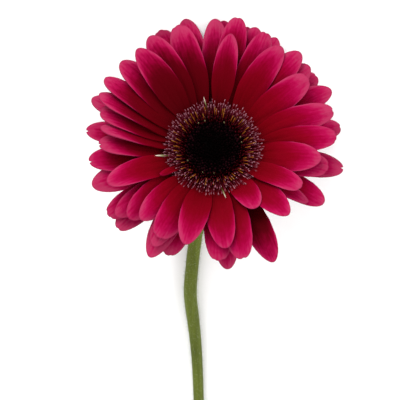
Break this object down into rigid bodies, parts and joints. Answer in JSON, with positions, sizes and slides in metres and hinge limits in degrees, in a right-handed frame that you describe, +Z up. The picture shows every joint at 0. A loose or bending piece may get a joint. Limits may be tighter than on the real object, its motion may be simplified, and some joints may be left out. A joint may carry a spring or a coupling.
{
  "type": "cut gerbera flower",
  "caption": "Cut gerbera lying on its bare stem with its face up: layered magenta ray petals, a fringe of small florets round a dark eye, and a green cup of bracts.",
  "frame": {"origin": "middle of the footprint of the whole flower, on the surface it lies on", "axes": "+Z up off the surface; the stem runs towards -Y and the bloom is at +Y with its face leaning up and towards +Y; +X is to the right as the bloom is looked at with the stem below"},
  "size_m": [0.108, 0.3618, 0.0598],
  "materials": {
    "petal": "velvety fresh petal, deep crimson at the root and dusty pink at the tip",
    "fringe": "dull plum floret with pale lilac tips",
    "eye": "near-black closed floret, slightly glossy",
    "bract": "dull downy green leaf",
    "stem": "smooth downy green stalk"
  },
  "bodies": {
    "root": {"ray_petals": "petal", "fringe_florets": "fringe", "eye_florets": "eye", "bract_cup": "bract", "stem": "stem"}
  },
  "joints": []
}
